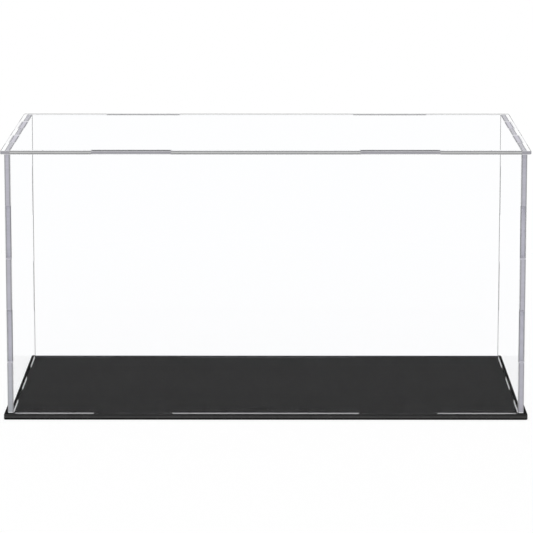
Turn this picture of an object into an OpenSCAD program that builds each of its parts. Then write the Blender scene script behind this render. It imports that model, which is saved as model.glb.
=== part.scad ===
// Free-standing display case of laser-cut acrylic sheet. A black base plate and a clear lid
// are slotted round their edges; four clear wall panels stand between them on tabs, and lock
// to each other at the corners with fingers. X runs along the case, Y from front to back and
// Z up. The origin is the middle of the base plate's underside.

/* [Inside of the case] */
// Clear length between the two side panels
inner_length = 270; // [220:1:360]
// Clear depth between the front and back panels
inner_depth = 150; // [110:1:220]
// Clear height between the base plate and the lid
inner_height = 140; // [120:1:220]

/* [Sheets] */
// Thickness of the four wall panels
wall_t = 3; // [2:0.5:5]
// Thickness of the lid
lid_t = 2; // [2:0.5:5]
// Thickness of the base plate
base_t = 3; // [2:0.5:6]
// Width of the base plate's rim outside the walls
base_rim = 2; // [1.5:0.5:8]
// Width of the lid's rim outside the walls
lid_rim = 2; // [1.5:0.5:8]
// Radius of the plan corners of the base plate
base_corner_r = 1; // [0.5:0.5:4]
// Radius of the plan corners of the lid
lid_corner_r = 1; // [0.5:0.5:4]

/* [Fit of the joints] */
// Gap left by the laser on each side of a tab or finger
kerf_gap = 0.1; // [0.05:0.05:0.25]
// How far each tab stops short of the outer face of its plate
tab_recess = 0.2; // [0.05:0.05:0.5]
// Web of plate left between the two slots that meet at an inner corner
corner_web = 1; // [0.8:0.1:4]

/* [Front and back panels] */
// Length of the outer tabs along the bottom edge
long_end_tab = 42; // [15:1:55]
// Length of the middle tab along the bottom edge
long_mid_tab = 100; // [20:1:105]
// Length of the two tabs along the top edge
long_lid_tab = 42; // [15:1:55]

/* [Side panels] */
// Length of the outer tabs along the bottom edge
side_end_tab = 29; // [12:1:32]
// Length of the middle tab along the bottom edge
side_mid_tab = 30; // [12:1:32]
// Length of the two tabs along the top edge
side_lid_tab = 30; // [12:1:32]

/* [Corner fingers] */
// Height of each finger
finger_h = 28; // [10:1:29]
// Height of plain edge between a finger and the panel's nearer end
finger_set = 28; // [10:1:29]

/* [Hidden] */

clear_acrylic = [0.87, 0.88, 0.92, 0.35];
black_acrylic = [0.04, 0.04, 0.04];

// Outside of the ring of walls
walls_length = inner_length + 2 * wall_t;
walls_depth = inner_depth + 2 * wall_t;

// Heights of the walls' plain edges
wall_bottom = base_t;
wall_top = base_t + inner_height;

// A tab is as tall as its plate is thick, less the recess
foot_drop = base_t - tab_recess;
lid_rise = lid_t - tab_recess;

// The end tabs start a web's width from the inner corner
long_end_at = inner_length / 2 - corner_web - long_end_tab / 2;
side_end_at = inner_depth / 2 - corner_web - side_end_tab / 2;

// The lid's tabs are centred over the bare stretches between the bottom tabs
long_lid_at = (long_end_at - long_end_tab / 2 + long_mid_tab / 2) / 2;
side_lid_at = (side_end_at - side_end_tab / 2 + side_mid_tab / 2) / 2;

// Tabs of one edge, each as [place of its middle along the edge, length]
long_feet = [[-long_end_at, long_end_tab], [0, long_mid_tab], [long_end_at, long_end_tab]];
side_feet = [[-side_end_at, side_end_tab], [0, side_mid_tab], [side_end_at, side_end_tab]];
long_lid_tabs = [[-long_lid_at, long_lid_tab], [long_lid_at, long_lid_tab]];
side_lid_tabs = [[-side_lid_at, side_lid_tab], [side_lid_at, side_lid_tab]];

// Lowest point of each finger
finger_starts = [wall_bottom + finger_set, wall_top - finger_set - finger_h];

corner_fn = 48;
// Overlap that joins tabs and fingers to their panel's outline
bite = 1;
// How far a notch's cutter passes the panel's edge
cut = 1;

// Rectangle with its middle at the origin and round corners
module plate_outline(length, depth, r) {
    square([length - 2 * r, depth], center = true);
    square([length, depth - 2 * r], center = true);
    for (x = [-1, 1], y = [-1, 1]) {
        translate([x * (length / 2 - r), y * (depth / 2 - r)]) circle(r = r, $fn = corner_fn);
    }
}

// Slots for one pair of facing panels, which stand `apart` from each other and run along X
module slot_pair(tabs, apart) {
    for (side = [-1, 1], tab = tabs) {
        translate([tab[0], side * (apart + wall_t) / 2]) {
            square([tab[1] + 2 * kerf_gap, wall_t + 2 * kerf_gap], center = true);
        }
    }
}

// Slots of a plate that takes these tabs of the long panels and of the side panels
module slots(long_tabs, side_tabs) {
    slot_pair(long_tabs, inner_depth);
    rotate([0, 0, 90]) slot_pair(side_tabs, inner_length);
}

// Tabs along a panel's bottom and top edges
module tabs_outline(feet, lid_tabs) {
    for (tab = feet) {
        translate([tab[0] - tab[1] / 2, wall_bottom - foot_drop]) square([tab[1], foot_drop + bite]);
    }
    for (tab = lid_tabs) {
        translate([tab[0] - tab[1] / 2, wall_top - bite]) square([tab[1], lid_rise + bite]);
    }
}

// Front and back panels, drawn flat: they fit between the side panels, and their fingers
// reach through the side panels' notches to the outside of the case
module long_panel_outline() {
    body_length = inner_length - 2 * kerf_gap;
    translate([-body_length / 2, wall_bottom]) square([body_length, inner_height]);
    tabs_outline(long_feet, long_lid_tabs);
    for (z = finger_starts) {
        translate([-walls_length / 2, z]) square([walls_length, finger_h]);
    }
}

// Side panels, drawn flat: they run the case's full depth, with a notch for each finger
module side_panel_outline() {
    notch_h = finger_h + 2 * kerf_gap;
    notch_deep = wall_t + kerf_gap;
    difference() {
        translate([-walls_depth / 2, wall_bottom]) square([walls_depth, inner_height]);
        for (z = finger_starts, end = [-1, 1]) {
            translate([end * (walls_depth - notch_deep + cut) / 2, z - kerf_gap + notch_h / 2]) {
                square([notch_deep + cut, notch_h], center = true);
            }
        }
    }
    tabs_outline(side_feet, side_lid_tabs);
}

// A long panel standing up, with its front face at y
module long_panel(y) {
    color(clear_acrylic)
        translate([0, y + wall_t, 0]) rotate([90, 0, 0]) linear_extrude(wall_t) long_panel_outline();
}

// A side panel standing up, with its left face at x
module side_panel(x) {
    color(clear_acrylic)
        translate([x, 0, 0]) rotate([90, 0, 90]) linear_extrude(wall_t) side_panel_outline();
}

module front_panel() {
    long_panel(-walls_depth / 2);
}

module back_panel() {
    long_panel(inner_depth / 2);
}

module left_panel() {
    side_panel(-walls_length / 2);
}

module right_panel() {
    side_panel(inner_length / 2);
}

module base_plate() {
    color(black_acrylic) linear_extrude(base_t) difference() {
        plate_outline(walls_length + 2 * base_rim, walls_depth + 2 * base_rim, base_corner_r);
        slots(long_feet, side_feet);
    }
}

module lid_panel() {
    color(clear_acrylic) translate([0, 0, wall_top]) linear_extrude(lid_t) difference() {
        plate_outline(walls_length + 2 * lid_rim, walls_depth + 2 * lid_rim, lid_corner_r);
        slots(long_lid_tabs, side_lid_tabs);
    }
}

base_plate();
front_panel();
back_panel();
left_panel();
right_panel();
lid_panel();
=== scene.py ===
"""Looks of a slotted acrylic display case: clear walls and lid with cut edges on a black base plate."""

import math

import bpy
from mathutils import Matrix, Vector

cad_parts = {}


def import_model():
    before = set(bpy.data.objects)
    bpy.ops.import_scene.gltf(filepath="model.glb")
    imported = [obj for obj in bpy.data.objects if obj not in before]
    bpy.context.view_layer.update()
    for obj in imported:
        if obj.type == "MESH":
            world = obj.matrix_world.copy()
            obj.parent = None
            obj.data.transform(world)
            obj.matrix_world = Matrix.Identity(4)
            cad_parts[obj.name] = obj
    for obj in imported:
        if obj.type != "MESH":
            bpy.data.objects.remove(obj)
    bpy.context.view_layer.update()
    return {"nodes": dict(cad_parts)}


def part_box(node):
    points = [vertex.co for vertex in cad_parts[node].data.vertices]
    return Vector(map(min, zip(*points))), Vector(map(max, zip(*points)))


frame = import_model()

# Each sheet, with the axis across its thickness
SHEETS = {
    "base_plate": "z",
    "front_panel": "y",
    "back_panel": "y",
    "left_panel": "x",
    "right_panel": "x",
    "lid_panel": "z",
}
LONG_PANELS = ("front_panel", "back_panel")
SIDE_PANELS = ("left_panel", "right_panel")

# Places that the materials are drawn by, from the frame. Lengths are in metres throughout.
DECK_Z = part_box("base_plate")[1].z
LID_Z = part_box("lid_panel")[0].z
LID_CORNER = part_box("lid_panel")[1]
SIDE_INNER_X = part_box("right_panel")[0].x
SIDE_OUTER_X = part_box("right_panel")[1].x
LONG_INNER_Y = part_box("back_panel")[0].y
LONG_OUTER_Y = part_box("back_panel")[1].y
TINY = 0.0001
MILLIMETRE = 0.001

# Clear acrylic
ACRYLIC_IOR = 1.49
BODY_TINT = (0.997, 0.998, 1.0)
# Share of the mirror image that a clear sheet keeps: the room behind the camera is dim
WALL_MIRROR = 0.06
LID_MIRROR = 0.15
# Fresnel share above which light can't leave the sheet, and is mirrored whole
SHUT_SHARE = 0.98
# What a sheet takes from light passing straight through its faces and its cut edges
FACE_TINT = (0.98, 0.98, 0.985)
CUT_TINT = (0.75, 0.75, 0.77)

# Frosted edges
FROST_ROUGHNESS = 0.3
EDGE_GLOSS = 0.03
TAB_GLOSS = 0.04
BUMP_STRENGTH = 0.25
BUMP_DEPTH = 0.00005
# Fine lines and broad patches that the laser leaves, and how far the lines are drawn out
LINE_SCALE = 2200
PATCH_SCALE = 110
LINE_STRETCH = 0.06
# Values between which most of a noise lies
NOISE_LOW = 0.3
NOISE_HIGH = 0.7

ARRIS_WIDTH = 0.00035
# Darker border of a cut edge along both faces of its sheet, and the width it fades in over
BORDER_WIDTH = 0.0006
BORDER_FADE = 0.0002
# Dark seam where a long panel's end meets a side panel
SEAM_WIDTH = 0.00009
SEAM_COLOUR = (0.06, 0.06, 0.06)
# The walls' faces are drawn in by this much, so that they don't lie in one plane with the plates
FACE_GAP = 0.00002

# Painted light standing for light led down the walls to where they stand in the base plate: pale
# colours on their tabs and at the side panels' toes, and how far above the plate they show
PAINTED_TAB_LIGHT = 0.93
LED_LIGHT = (0.95, 0.95, 0.96)
LED_SHARE = 0.7
LIT_FOOT = 0.0008
LIT_TOE = 0.0009
PAINTED_TOE_LIGHT = (0.88, 0.89, 0.91)
# Painted shade: a tab's outer side, seen from inside the sheet, is painted dark
TAB_BACK_SHADE = 0.03
# Least rise off the base plate at which the walls count as lifted
LIFT_START = 0.0005

# Cut edges of the side panels
VIOLET = (0.452, 0.446, 0.505)
VIOLET_BORDER = (0.34, 0.34, 0.365)
SIDE_TOP = (0.515, 0.51, 0.55)
SIDE_TOP_BORDER = (0.34, 0.34, 0.36)
SIDE_TAB = (0.60, 0.59, 0.65)
SIDE_TAB_BORDER = (0.48, 0.475, 0.52)
# Painted shade: a side panel's cut edge where it is seen from inside the sheet
SIDE_INSIDE_SHADE = (0.13, 0.13, 0.135)
SIDE_ARRIS = (0.33, 0.33, 0.35)
# Painted light: the set-back stretches beside the fingers are painted this much lighter, against the
# shade they lie in
RECESS_PAINTED_LIGHT = 1.1
# Painted shade at the foot of each side panel's upright edges, a different shade on each side as the
# light falls there, and how high it reaches
FOOT_SHADES = {"left_panel": (0.365, 0.39, 0.405), "right_panel": (0.43, 0.42, 0.475)}
FOOT_SHARE = 0.7
FOOT_HEIGHT = 0.035

# Cut edges of the front and back panels
# Painted shade: the tab tops of the front and back panels are painted dark, as in the shade of their
# recess in the lid's slots
LONG_TAB_SHADE = (0.16, 0.158, 0.175)
LONG_TAB_BORDER_SHADE = (0.10, 0.10, 0.11)
# Painted light on the front panel's cut edges and painted shade on the back panel's, where they are
# seen from inside the sheet
LONG_INSIDE_LIGHT_AND_SHADE = {"front_panel": (0.6, 0.6, 0.6), "back_panel": (0.1, 0.1, 0.1)}

# Level cut faces at the finger joints
LEVEL_SLOPE = 0.9
LEVEL_VIOLET = (0.56, 0.55, 0.6)

# Bare edges that the plates cover: how much of them shows when covered, when lifted and in a line
SEATED_COLOUR = (0.85, 0.84, 0.88)
SEATED_LINE = (0.34, 0.34, 0.36)
SEATED_SHARE = 0.03
LIFTED_SHARE = 0.3
LINE_SHARE = 0.6
# The lines run along both faces of the sheet, and fade in between these distances from them
LINE_START = 0.0005
LINE_END = 0.0003

# Lid's edge and arrises, bare and where the front panel's tabs or the side panels stand behind
LID_BARE = (0.475, 0.477, 0.475)
LID_VIOLET = (0.335, 0.33, 0.36)
# Lid edges seen from inside the sheet: painted shade at the outline and the front and back slots,
# painted light at the side slots
LID_INSIDE_SHADE = (0.02, 0.02, 0.02)
LID_SLOT = (0.68, 0.675, 0.71)
SIDE_SLOT_INSIDE_LIGHT = (0.6, 0.6, 0.62)
LONG_SLOT_INSIDE_SHADE = (0.03, 0.03, 0.03)
LID_LINE = (0.06, 0.06, 0.065)
TAB_ARRIS = (0.52, 0.515, 0.54)
CORNER_ARRIS = (0.36, 0.355, 0.38)
PALE_ARRIS = (0.82, 0.82, 0.84)
WHITE_ARRIS = (0.98, 0.98, 0.98)
# Pale outermost strips of the lid's upper and lower arris, and the dark line above the lower one
PALE_ABOVE = 0.0001
PALE_BELOW = 0.00024
LOW_LINE = 0.0002
# How much of the arris shows at the lid's sides
SIDE_ARRIS_SHARE = 0.25

# Black acrylic
BLACK_FACE = (0.008, 0.008, 0.008)
BLACK_EDGE = (0.02, 0.02, 0.02)
BLACK_ARRIS = (0.012, 0.012, 0.012)
BLACK_EDGE_GLOSS = 0.03
BLACK_ARRIS_GLOSS = 0.02
CUT_ROUGHNESS = 0.2
# Its face's mirror: an even share, one that grows with Fresnel, and what the rims beside the walls keep
EVEN_MIRROR = 0.018
FRESNEL_MIRROR = 0.02
RIM_SHARE = 0.1
HAZE_SCALE = 14

# Floor
FLOOR_HALF = 3.0
FLOOR_COLOUR = (0.95, 0.95, 0.95, 1)
# It is this near to pure white close to the case, and goes over to pure white between these distances
NEAR_WHITE = 0.9
FADE_START = 0.15
FADE_END = 0.5
# What is left of that whiteness where the case touches it
CONTACT_WHITE = 0.7
WHITE = (1, 1, 1, 1)

# Lamp and sky
LAMP_POWER = 10
LAMP_SIZE = 1.5
LAMP_AT = (-0.8, -1.0, 1.8)
SKY_LIGHT = 0.85

# Camera
FRAME_PIXELS = 533
FOCAL_PIXELS = 3108.7
SENSOR_MM = 36.0
CAMERA_AT = (0.0045, -1.70341, 0.36474)
CAMERA_PITCH = math.radians(9.838)
CAMERA_YAW = math.radians(0.1437)


def add(tree, kind, inputs=None, **settings):
    """Add a node. Each of its inputs is given a value or the output of another node."""
    node = tree.nodes.new(kind)
    for name, value in settings.items():
        setattr(node, name, value)
    for key, value in (inputs or {}).items():
        if isinstance(value, bpy.types.NodeSocket):
            tree.links.new(value, node.inputs[key])
        else:
            node.inputs[key].default_value = value
    return node


def maths(tree, operation, a, b=0.0, c=0.0):
    """The result of one Math node."""
    return add(tree, "ShaderNodeMath", {0: a, 1: b, 2: c}, operation=operation).outputs[0]


def above(tree, value, limit):
    """1 where a value is over a limit."""
    return maths(tree, "GREATER_THAN", value, limit)


def below(tree, value, limit):
    """1 where a value is under a limit."""
    return maths(tree, "LESS_THAN", value, limit)


def both(tree, a, b):
    """Two shares multiplied: 1 where both are."""
    return maths(tree, "MULTIPLY", a, b)


def either(tree, a, b):
    """The larger of two shares."""
    return maths(tree, "MAXIMUM", a, b)


def opposite(tree, share):
    """1 less a share."""
    return maths(tree, "SUBTRACT", 1.0, share)


def within(tree, value, low, high):
    """1 where a value lies between low and high."""
    return both(tree, above(tree, value, low), below(tree, value, high))


def ramp(tree, value, start, end, low=0.0, high=1.0):
    """Map value from start..end to low..high, held at both ends."""
    inputs = {"Value": value, "From Min": start, "From Max": end, "To Min": low, "To Max": high}
    return add(tree, "ShaderNodeMapRange", inputs).outputs[0]


def pick(tree, share, when_off, when_on):
    """A number that goes from when_off to when_on as share goes to 1."""
    return ramp(tree, share, 0.0, 1.0, when_off, when_on)


def uneven(tree, noise, low, high):
    """A noise spread over low..high."""
    return ramp(tree, noise, NOISE_LOW, NOISE_HIGH, low, high)


def mix_colours(tree, share, a, b):
    """Colour a, going to colour b as share goes to 1."""
    node = add(tree, "ShaderNodeMix", data_type="RGBA")
    tree.links.new(share, node.inputs[0])
    for index, value in ((6, a), (7, b)):
        if isinstance(value, bpy.types.NodeSocket):
            tree.links.new(value, node.inputs[index])
        else:
            node.inputs[index].default_value = (*value, 1)
    return node.outputs[2]


def tinted(tree, colour, tone):
    """A colour, or a colour socket, multiplied by a tone."""
    node = add(tree, "ShaderNodeVectorMath", {0: colour}, operation="SCALE")
    tree.links.new(tone, node.inputs["Scale"])
    return node.outputs[0]


def mix_shaders(tree, share, a, b):
    """Shader a, going to shader b as share goes to 1."""
    return add(tree, "ShaderNodeMixShader", {0: share, 1: a, 2: b}).outputs[0]


def place(tree):
    """The point shaded, in the part's own frame, as one vector."""
    return add(tree, "ShaderNodeTexCoord").outputs["Object"]


def parts_of(tree, vector):
    """A vector's X, Y and Z."""
    return add(tree, "ShaderNodeSeparateXYZ", {0: vector}).outputs


def along(tree, axis):
    """Where the point shaded lies along an axis of the part's own frame."""
    return parts_of(tree, place(tree))[axis.upper()]


def size_along(tree, axis):
    """Distance from the case's middle along an axis."""
    return maths(tree, "ABSOLUTE", along(tree, axis))


def geometry(tree):
    """What Blender knows of the point shaded: its place in the scene, its normal and its side."""
    return add(tree, "ShaderNodeNewGeometry").outputs


def slope_of_face(tree):
    """How squarely the face shaded looks up or down."""
    return maths(tree, "ABSOLUTE", parts_of(tree, geometry(tree)["Normal"])["Z"])


def seated(tree):
    """1 while the walls stand on the base plate, and 0 once they are lifted off it."""
    in_scene = parts_of(tree, geometry(tree)["Position"])["Z"]
    rise = maths(tree, "SUBTRACT", in_scene, along(tree, "z"))
    return below(tree, rise, LIFT_START)


def off_middle(tree, node, axis):
    """Distance from a sheet's middle plane, and half the sheet's thickness."""
    low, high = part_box(node)
    middle = (getattr(low, axis) + getattr(high, axis)) / 2
    distance = maths(tree, "ABSOLUTE", maths(tree, "SUBTRACT", along(tree, axis), middle))
    return distance, (getattr(high, axis) - getattr(low, axis)) / 2


def tab_spans(node, axis, top):
    """Where a panel's top or bottom tabs start and end, as distances from its middle."""
    points = [vertex.co for vertex in frame["nodes"][node].data.vertices]
    ends = [p for p in points if (p.z > LID_Z + TINY if top else p.z < DECK_Z - TINY)]
    stops = sorted({round(abs(p["xyz".index(axis)]), 4) for p in ends})
    if len(stops) % 2:
        stops.insert(0, -TINY)
    return list(zip(stops[0::2], stops[1::2]))


def along_tabs(tree, node, axis, top):
    """1 along the stretches of a panel's edge that have tabs."""
    distance = size_along(tree, axis)
    total = 0.0
    for low, high in tab_spans(node, axis, top):
        total = maths(tree, "ADD", total, within(tree, distance, low, high))
    return total


def outer_edge(tree):
    """1 round the lid's outline, and 0 at its slots."""
    by_side = above(tree, size_along(tree, "x"), LID_CORNER.x - 1.2 * MILLIMETRE)
    by_front = above(tree, size_along(tree, "y"), LID_CORNER.y - 1.2 * MILLIMETRE)
    return either(tree, by_side, by_front)


def striations(tree, axis):
    """Fine lines that a laser leaves straight through the sheet, with some broad unevenness."""
    scale = [1.0, 1.0, 1.0]
    scale["xyz".index(axis)] = LINE_STRETCH
    inputs = {0: place(tree), 1: scale}
    drawn_out = add(tree, "ShaderNodeVectorMath", inputs, operation="MULTIPLY").outputs[0]
    lines = {"Vector": drawn_out, "Scale": LINE_SCALE, "Detail": 3}
    patches = {"Vector": drawn_out, "Scale": PATCH_SCALE, "Detail": 2}
    fine = add(tree, "ShaderNodeTexNoise", lines).outputs[0]
    broad = add(tree, "ShaderNodeTexNoise", patches).outputs[0]
    return fine, broad


def line_bump(tree, fine):
    """The fine lines as a shallow relief."""
    inputs = {"Strength": BUMP_STRENGTH, "Distance": BUMP_DEPTH, "Height": fine}
    return add(tree, "ShaderNodeBump", inputs).outputs[0]


def new_material(name):
    """An empty node material and its tree."""
    material = bpy.data.materials.new(name)
    material.use_nodes = True
    material.node_tree.nodes.clear()
    return material, material.node_tree


def output(tree, shader):
    """Make a shader the surface of its material."""
    add(tree, "ShaderNodeOutputMaterial", {"Surface": shader})


def passing_light(tree, shader, tint):
    """Light goes straight through a clear sheet to whatever it lights."""
    path = add(tree, "ShaderNodeLightPath").outputs
    lighting = either(tree, path["Is Shadow Ray"], path["Is Diffuse Ray"])
    straight = add(tree, "ShaderNodeBsdfTransparent", {"Color": (*tint, 1)}).outputs[0]
    return mix_shaders(tree, lighting, shader, straight)


def invisible(tree):
    """Nothing at all: what lies behind shows unchanged."""
    return add(tree, "ShaderNodeBsdfTransparent", {"Color": WHITE}).outputs[0]


def frosted(tree, colour, gloss=EDGE_GLOSS, normal=None):
    """A matt body colour under a weak, even sheen."""
    body = add(tree, "ShaderNodeBsdfDiffuse", {"Color": colour})
    sheen = add(tree, "ShaderNodeBsdfGlossy", {"Color": WHITE, "Roughness": FROST_ROUGHNESS})
    if normal is not None:
        tree.links.new(normal, body.inputs["Normal"])
        tree.links.new(normal, sheen.inputs["Normal"])
    return mix_shaders(tree, gloss, body.outputs[0], sheen.outputs[0])


def clear_sheet(tree, mirror_share):
    """Polished acrylic: it bends what is behind it and mirrors a little of what is in front."""
    fresnel = add(tree, "ShaderNodeFresnel", {"IOR": ACRYLIC_IOR}).outputs[0]
    soft = maths(tree, "MULTIPLY", fresnel, mirror_share)
    share = either(tree, soft, above(tree, fresnel, SHUT_SHARE))
    bent = {"Color": (*BODY_TINT, 1), "Roughness": 0.0, "IOR": ACRYLIC_IOR}
    through = add(tree, "ShaderNodeBsdfRefraction", bent).outputs[0]
    mirror = add(tree, "ShaderNodeBsdfGlossy", {"Color": WHITE, "Roughness": 0.0}).outputs[0]
    return mix_shaders(tree, share, through, mirror)


def painted_tab(tree, brightness):
    """A tab in the black base, painted a flat frosted colour: pale as painted light for the light led
    down the sheet, or dark as painted shade.
    """
    return frosted(tree, (brightness, brightness, 1.01 * brightness, 1), TAB_GLOSS)


def below_deck(tree, margin):
    """1 on what stands in the base plate's slots, while the walls are seated."""
    return both(tree, below(tree, along(tree, "z"), DECK_Z - margin), seated(tree))


def lid_face(name):
    """Polished face of the lid."""
    material, tree = new_material(name)
    output(tree, passing_light(tree, clear_sheet(tree, LID_MIRROR), FACE_TINT))
    return material


def long_face(name):
    """Polished face of a front or back panel, with its tabs painted light on the inner side and painted
    shade where the outer side is seen from inside, and the seams at its ends.
    """
    material, tree = new_material(name)
    sheet = clear_sheet(tree, WALL_MIRROR)
    inner_side = below(tree, size_along(tree, "y"), (LONG_INNER_Y + LONG_OUTER_Y) / 2)
    from_inside = geometry(tree)["Backfacing"]
    outer_side = mix_shaders(tree, from_inside, sheet, painted_tab(tree, TAB_BACK_SHADE))
    tab = mix_shaders(tree, inner_side, outer_side, painted_tab(tree, PAINTED_TAB_LIGHT))
    sheet = mix_shaders(tree, below_deck(tree, TINY / 2), sheet, tab)
    seam = within(tree, size_along(tree, "x"), SIDE_INNER_X - SEAM_WIDTH, SIDE_INNER_X)
    sheet = mix_shaders(tree, seam, sheet, frosted(tree, (*SEAM_COLOUR, 1)))
    output(tree, passing_light(tree, sheet, FACE_TINT))
    return material


def side_face(name, node):
    """Polished face of a side panel. Its tabs are painted light, from a little above the base plate
    down, partly as a pale translucent layer.
    """
    material, tree = new_material(name)
    sheet = clear_sheet(tree, WALL_MIRROR)
    foot = below(tree, along(tree, "z"), DECK_Z + LIT_FOOT)
    lit = both(tree, foot, along_tabs(tree, node, "y", False))
    lit = both(tree, lit, seated(tree))
    led = add(tree, "ShaderNodeBsdfTranslucent", {"Color": (*LED_LIGHT, 1)}).outputs[0]
    glow = mix_shaders(tree, LED_SHARE, painted_tab(tree, PAINTED_TAB_LIGHT), led)
    output(tree, passing_light(tree, mix_shaders(tree, lit, sheet, glow), FACE_TINT))
    return material


def side_foot(tree, body, foot_shade):
    """An edge colour of a side panel, painted lighter where it is set back, with painted shade and then
    a painted pale toe at its foot.
    """
    recessed = below(tree, size_along(tree, "y"), LONG_OUTER_Y - MILLIMETRE)
    body = tinted(tree, body, pick(tree, recessed, 1.0, RECESS_PAINTED_LIGHT))
    foot = ramp(tree, along(tree, "z"), DECK_Z, DECK_Z + FOOT_HEIGHT, FOOT_SHARE, 0.0)
    body = mix_colours(tree, foot, body, foot_shade)
    toe = both(tree, below(tree, along(tree, "z"), DECK_Z + LIT_TOE), seated(tree))
    return mix_colours(tree, toe, body, PAINTED_TOE_LIGHT)


def cut_edge(name, node, colour, border, inside=SIDE_INSIDE_SHADE, foot_shade=None):
    """Laser-cut edge: frosted, darker towards both faces of the sheet, painted light or shade where it
    is seen from inside it, and painted light where it stands in the base plate.
    """
    material, tree = new_material(name)
    fine, broad = striations(tree, SHEETS[node])
    tone = maths(tree, "ADD", uneven(tree, fine, -0.05, 0.05), uneven(tree, broad, 0.96, 1.04))
    distance, half = off_middle(tree, node, SHEETS[node])
    near_face = ramp(tree, distance, half - BORDER_WIDTH - BORDER_FADE, half - BORDER_WIDTH)
    body = mix_colours(tree, near_face, colour, border)
    if foot_shade is not None:
        body = side_foot(tree, body, foot_shade)
    level = above(tree, slope_of_face(tree), LEVEL_SLOPE)
    inside = mix_colours(tree, level, inside, LEVEL_VIOLET)
    from_inside = geometry(tree)["Backfacing"]
    seen_colour = mix_colours(tree, from_inside, tinted(tree, body, tone), inside)
    edge = frosted(tree, seen_colour, normal=line_bump(tree, fine))
    # Painted light where the edge stands in the base plate's slots
    edge = mix_shaders(tree, below_deck(tree, TINY / 10), edge, painted_tab(tree, PAINTED_TAB_LIGHT))
    output(tree, passing_light(tree, edge, CUT_TINT))
    return material


def side_arris(name):
    """Broken arris of a side panel: dark along the sheet, pale across it at the finger joints, and
    painted light where it stands in the base plate.
    """
    material, tree = new_material(name)
    fine = striations(tree, "z")[0]
    across_sheet = within(tree, slope_of_face(tree), 0.3, LEVEL_SLOPE)
    at_joint = below(tree, along(tree, "z"), LID_Z - MILLIMETRE)
    colour = mix_colours(tree, both(tree, across_sheet, at_joint), SIDE_ARRIS, LEVEL_VIOLET)
    edge = frosted(tree, tinted(tree, colour, uneven(tree, fine, 0.93, 1.07)))
    at_deck = below_deck(tree, -(ARRIS_WIDTH + TINY / 10))
    edge = mix_shaders(tree, at_deck, edge, invisible(tree))
    # Painted light where the arris stands in the base plate's slots
    edge = mix_shaders(tree, below_deck(tree, TINY / 10), edge, painted_tab(tree, PAINTED_TAB_LIGHT))
    output(tree, passing_light(tree, edge, CUT_TINT))
    return material


def seated_edge(node):
    """Bare edge of a wall: nearly invisible on the base plate, and thinly lined elsewhere."""
    material, tree = new_material(node + "_seated")
    fine = striations(tree, SHEETS[node])[0]
    distance, half = off_middle(tree, node, SHEETS[node])
    under_lid = above(tree, along(tree, "z"), LID_Z - MILLIMETRE)
    lined = either(tree, under_lid, opposite(tree, seated(tree)))
    line = both(tree, ramp(tree, distance, half - LINE_START, half - LINE_END), lined)
    colour = mix_colours(tree, line, SEATED_COLOUR, SEATED_LINE)
    colour = tinted(tree, colour, uneven(tree, fine, 0.93, 1.07))
    plain_share = pick(tree, lined, SEATED_SHARE, LIFTED_SHARE)
    share = either(tree, plain_share, maths(tree, "MULTIPLY", line, LINE_SHARE))
    output(tree, mix_shaders(tree, share, invisible(tree), frosted(tree, colour)))
    return material


def lid_edge(name):
    """Cut edge of the lid, violet where the front panel's tabs stand behind it, with painted light or
    shade where it is seen from inside the sheet.
    """
    material, tree = new_material(name)
    fine, broad = striations(tree, "z")
    tone = maths(tree, "ADD", uneven(tree, fine, -0.04, 0.04), uneven(tree, broad, 0.97, 1.03))
    over_wall = above(tree, size_along(tree, "x"), SIDE_INNER_X)
    violet = either(tree, along_tabs(tree, "front_panel", "x", True), over_wall)
    outside = tinted(tree, mix_colours(tree, violet, LID_BARE, LID_VIOLET), tone)
    low = below(tree, along(tree, "z"), LID_Z + ARRIS_WIDTH + LOW_LINE)
    outside = mix_colours(tree, both(tree, low, opposite(tree, violet)), outside, LID_LINE)
    in_slot = opposite(tree, outer_edge(tree))
    outside = mix_colours(tree, in_slot, outside, LID_SLOT)
    at_long_wall = above(tree, size_along(tree, "y"), LONG_INNER_Y - 2 * TINY)
    inside = mix_colours(tree, at_long_wall, SIDE_SLOT_INSIDE_LIGHT, LONG_SLOT_INSIDE_SHADE)
    inside = mix_colours(tree, in_slot, LID_INSIDE_SHADE, inside)
    seen_colour = mix_colours(tree, geometry(tree)["Backfacing"], outside, inside)
    edge = frosted(tree, seen_colour, normal=line_bump(tree, fine))
    output(tree, passing_light(tree, edge, CUT_TINT))
    return material


def lid_arris_colour(tree, at_front):
    """Dark arris with a pale outermost strip, and the other way round where tabs stand behind it;
    painted shade at the front where it is seen from inside the sheet.
    """
    tabs = along_tabs(tree, "front_panel", "x", True)
    over_wall = above(tree, size_along(tree, "x"), SIDE_INNER_X)
    colour = mix_colours(tree, tabs, LID_LINE, TAB_ARRIS)
    colour = mix_colours(tree, over_wall, colour, CORNER_ARRIS)
    distance, half = off_middle(tree, "lid_panel", "z")
    upper = above(tree, along(tree, "z"), (LID_Z + LID_CORNER.z) / 2)
    outermost = above(tree, distance, pick(tree, upper, half - PALE_BELOW, half - PALE_ABOVE))
    top_line = both(tree, both(tree, tabs, upper), outermost)
    colour = mix_colours(tree, top_line, colour, LID_LINE)
    bare_strip = both(tree, outermost, opposite(tree, tabs))
    pale = either(tree, bare_strip, opposite(tree, outer_edge(tree)))
    colour = mix_colours(tree, pale, colour, PALE_ARRIS)
    below_tabs = both(tree, tabs, opposite(tree, upper))
    colour = mix_colours(tree, below_tabs, colour, WHITE_ARRIS)
    colour = tinted(tree, colour, uneven(tree, striations(tree, "z")[0], 0.93, 1.07))
    from_inside = both(tree, geometry(tree)["Backfacing"], at_front)
    return mix_colours(tree, from_inside, colour, LID_INSIDE_SHADE)


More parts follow.
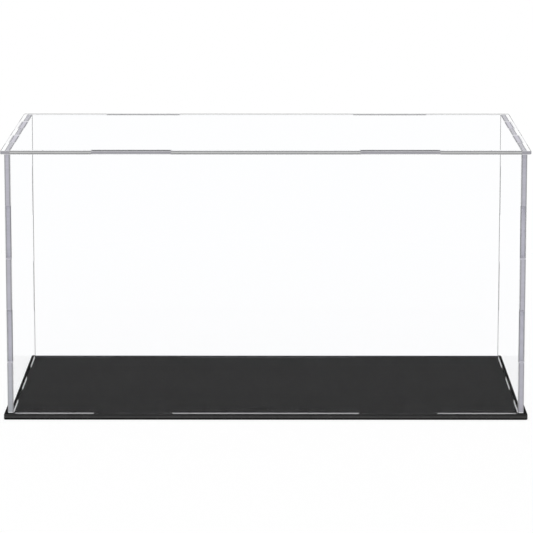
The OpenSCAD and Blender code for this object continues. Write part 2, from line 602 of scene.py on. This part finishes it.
def lid_arris(name):
    """Broken arris of the lid: plain at the front, the back and the slots, and faint at the sides."""
    material, tree = new_material(name)
    at_front = above(tree, size_along(tree, "y"), LID_CORNER.y - 0.6 * MILLIMETRE)
    at_side = both(tree, outer_edge(tree), opposite(tree, at_front))
    sheet = clear_sheet(tree, LID_MIRROR)
    cut = frosted(tree, lid_arris_colour(tree, at_front))
    edge = mix_shaders(tree, pick(tree, at_side, 1.0, SIDE_ARRIS_SHARE), sheet, cut)
    output(tree, passing_light(tree, edge, CUT_TINT))
    return material


def black_face(name):
    """Black sheet: a deep body colour under a weak mirror, weaker still beside the walls."""
    material, tree = new_material(name)
    fresnel = add(tree, "ShaderNodeFresnel", {"IOR": ACRYLIC_IOR}).outputs[0]
    share = maths(tree, "MULTIPLY_ADD", fresnel, FRESNEL_MIRROR, EVEN_MIRROR)
    inputs = {"Vector": place(tree), "Scale": HAZE_SCALE, "Detail": 6}
    haze = add(tree, "ShaderNodeTexNoise", inputs).outputs[0]
    roughness = ramp(tree, haze, 0.35, 0.75, 0.08, 0.12)
    beside = above(tree, size_along(tree, "x"), SIDE_OUTER_X)
    share = maths(tree, "MULTIPLY", share, pick(tree, beside, 1.0, RIM_SHARE))
    colour = tinted(tree, BLACK_FACE, uneven(tree, haze, 0.97, 1.03))
    body = add(tree, "ShaderNodeBsdfDiffuse", {"Color": colour}).outputs[0]
    mirror = add(tree, "ShaderNodeBsdfGlossy", {"Color": WHITE, "Roughness": roughness}).outputs[0]
    output(tree, mix_shaders(tree, share, body, mirror))
    return material


def black_edge(name, colour, gloss):
    """Cut edge or arris of the base plate, darker towards its two faces, and with painted shade that
    makes it nearly black at its foot.
    """
    material, tree = new_material(name)
    fine, broad = striations(tree, "z")
    z = along(tree, "z")
    # Painted shade at the foot, where the plate meets the floor; it also weakens the gleam there
    low = ramp(tree, z, 0.8 * MILLIMETRE, MILLIMETRE, 0.08, 1.0)
    high = ramp(tree, z, DECK_Z - MILLIMETRE, DECK_Z - 0.8 * MILLIMETRE, 1.0, 0.55)
    high = either(tree, high, above(tree, z, DECK_Z - ARRIS_WIDTH))
    tone = maths(tree, "MULTIPLY", low, high)
    share = maths(tree, "MULTIPLY", tone, uneven(tree, broad, 0.9 * gloss, 1.1 * gloss))
    tone = maths(tree, "MULTIPLY", tone, uneven(tree, fine, 0.92, 1.08))
    body = add(tree, "ShaderNodeBsdfDiffuse", {"Color": tinted(tree, colour, tone)}).outputs[0]
    gleam = {"Color": WHITE, "Roughness": CUT_ROUGHNESS}
    mirror = add(tree, "ShaderNodeBsdfGlossy", gleam).outputs[0]
    output(tree, mix_shaders(tree, share, body, mirror))
    return material


def across(polygon, axis):
    """How squarely a face looks along this axis."""
    return abs(polygon.normal["xyz".index(axis)])


def face_kind(node, polygon):
    """Which of its sheet's materials a face takes: face, edge, top, tab or seated."""
    if across(polygon, SHEETS[node]) > 0.9:
        return "face"
    if across(polygon, "z") < 0.9:
        return "edge"
    z = polygon.center.z
    if z > LID_Z + TINY and SHEETS[node] != "z":
        return "tab"
    if abs(z - DECK_Z) < TINY:
        return "seated"
    if abs(z - LID_Z) < TINY:
        return "seated" if node in LONG_PANELS else "top"
    return "edge"


def dress(node, looks):
    """Give each face of a node its material, join its flat faces and break its arrises."""
    ob = frame["nodes"][node]
    kinds = list(looks)
    ob.data.materials.clear()
    for kind in kinds:
        ob.data.materials.append(looks[kind])
    for polygon in ob.data.polygons:
        kind = face_kind(node, polygon)
        polygon.material_index = kinds.index(kind if kind in looks else "edge")
    weld = ob.modifiers.new("join_faces", "WELD")
    weld.merge_threshold = 1e-6
    flat = ob.modifiers.new("flatten", "DECIMATE")
    flat.decimate_type = "DISSOLVE"
    flat.angle_limit = math.radians(1)
    flat.delimit = {"MATERIAL"}
    if "arris" in looks:
        bevel = ob.modifiers.new("arrises", "BEVEL")
        bevel.width = ARRIS_WIDTH
        bevel.segments = 1
        bevel.limit_method = "ANGLE"
        bevel.angle_limit = math.radians(40)
        bevel.material = kinds.index("arris")
    if SHEETS[node] != "z":
        shrink = ob.modifiers.new("face_gap", "DISPLACE")
        shrink.strength = -FACE_GAP
        shrink.mid_level = 0.0


def camera():
    """The camera, at the photograph's viewing angle."""
    lens = bpy.data.cameras.new("camera")
    lens.sensor_width = SENSOR_MM
    lens.lens = FOCAL_PIXELS / FRAME_PIXELS * SENSOR_MM
    ob = bpy.data.objects.new("camera", lens)
    ob.location = CAMERA_AT
    ob.rotation_euler = (math.radians(90) - CAMERA_PITCH, 0, CAMERA_YAW)
    bpy.context.scene.collection.objects.link(ob)
    bpy.context.scene.camera = ob


def seen(tree):
    """1 where the background itself is seen, straight, mirrored or through a clear sheet."""
    path = add(tree, "ShaderNodeLightPath").outputs
    looked_at = either(tree, path["Is Camera Ray"], path["Is Glossy Ray"])
    return either(tree, looked_at, path["Is Transmission Ray"])


def floor():
    """A white table top that goes over into the white background, with the shadow of the case."""
    mesh = bpy.data.meshes.new("floor")
    half = FLOOR_HALF
    corners = [(-half, -half, 0), (half, -half, 0), (half, half, 0), (-half, half, 0)]
    mesh.from_pydata(corners, [], [(0, 1, 2, 3)])
    ob = bpy.data.objects.new("floor", mesh)
    ob.location.z = -TINY
    bpy.context.scene.collection.objects.link(ob)
    material, tree = new_material("floor")
    away = add(tree, "ShaderNodeVectorMath", {0: place(tree)}, operation="LENGTH").outputs["Value"]
    beyond_x = maths(tree, "SUBTRACT", size_along(tree, "x"), LID_CORNER.x)
    beyond_y = maths(tree, "SUBTRACT", size_along(tree, "y"), LID_CORNER.y)
    gap = either(tree, beyond_x, beyond_y)
    whiteness = ramp(tree, away, FADE_START, FADE_END, NEAR_WHITE, 1.0)
    whiteness = maths(tree, "MULTIPLY", seen(tree), whiteness)
    share = maths(tree, "MULTIPLY", whiteness, ramp(tree, gap, 0.0, MILLIMETRE, CONTACT_WHITE, 1.0))
    matt = add(tree, "ShaderNodeBsdfDiffuse", {"Color": FLOOR_COLOUR}).outputs[0]
    white = add(tree, "ShaderNodeEmission", {"Color": WHITE, "Strength": 1.0}).outputs[0]
    output(tree, mix_shaders(tree, share, matt, white))
    mesh.materials.append(material)


def world():
    """An even studio sky: white where it is seen, and a little dimmer as a light."""
    sky = bpy.data.worlds.new("studio")
    bpy.context.scene.world = sky
    sky.use_nodes = True
    tree = sky.node_tree
    back = tree.nodes["Background"]
    back.inputs["Color"].default_value = WHITE
    tree.links.new(pick(tree, seen(tree), SKY_LIGHT, 1.0), back.inputs["Strength"])


def lamp():
    """A large soft lamp, above and to the left of the front."""
    light = bpy.data.lights.new("key", "AREA")
    light.energy = LAMP_POWER
    light.size = LAMP_SIZE
    ob = bpy.data.objects.new("key", light)
    ob.location = LAMP_AT
    aim = Vector((0, 0, LID_Z / 2)) - ob.location
    ob.rotation_euler = aim.to_track_quat("-Z", "Y").to_euler()
    bpy.context.scene.collection.objects.link(ob)


camera()
floor()
world()
lamp()
bpy.context.scene.view_settings.view_transform = "Standard"

for node in SIDE_PANELS:
    foot_shade = FOOT_SHADES[node]
    dress(node, {
        "face": side_face(node + "_face", node),
        "edge": cut_edge(node + "_edge", node, VIOLET, VIOLET_BORDER, foot_shade=foot_shade),
        "top": cut_edge(node + "_top", node, SIDE_TOP, SIDE_TOP_BORDER),
        "tab": cut_edge(node + "_tab", node, SIDE_TAB, SIDE_TAB_BORDER),
        "seated": seated_edge(node),
        "arris": side_arris(node + "_arris"),
    })
for node in LONG_PANELS:
    dress(node, {
        "face": long_face(node + "_face"),
        "edge": cut_edge(node + "_edge", node, VIOLET, VIOLET_BORDER, LONG_INSIDE_LIGHT_AND_SHADE[node]),
        "tab": cut_edge(node + "_tab", node, LONG_TAB_SHADE, LONG_TAB_BORDER_SHADE),
        "seated": seated_edge(node),
    })
dress("lid_panel", {
    "face": lid_face("lid_face"),
    "edge": lid_edge("lid_edge"),
    "arris": lid_arris("lid_arris"),
})
dress("base_plate", {
    "face": black_face("black_face"),
    "edge": black_edge("black_edge", BLACK_EDGE, BLACK_EDGE_GLOSS),
    "arris": black_edge("black_arris", BLACK_ARRIS, BLACK_ARRIS_GLOSS),
})
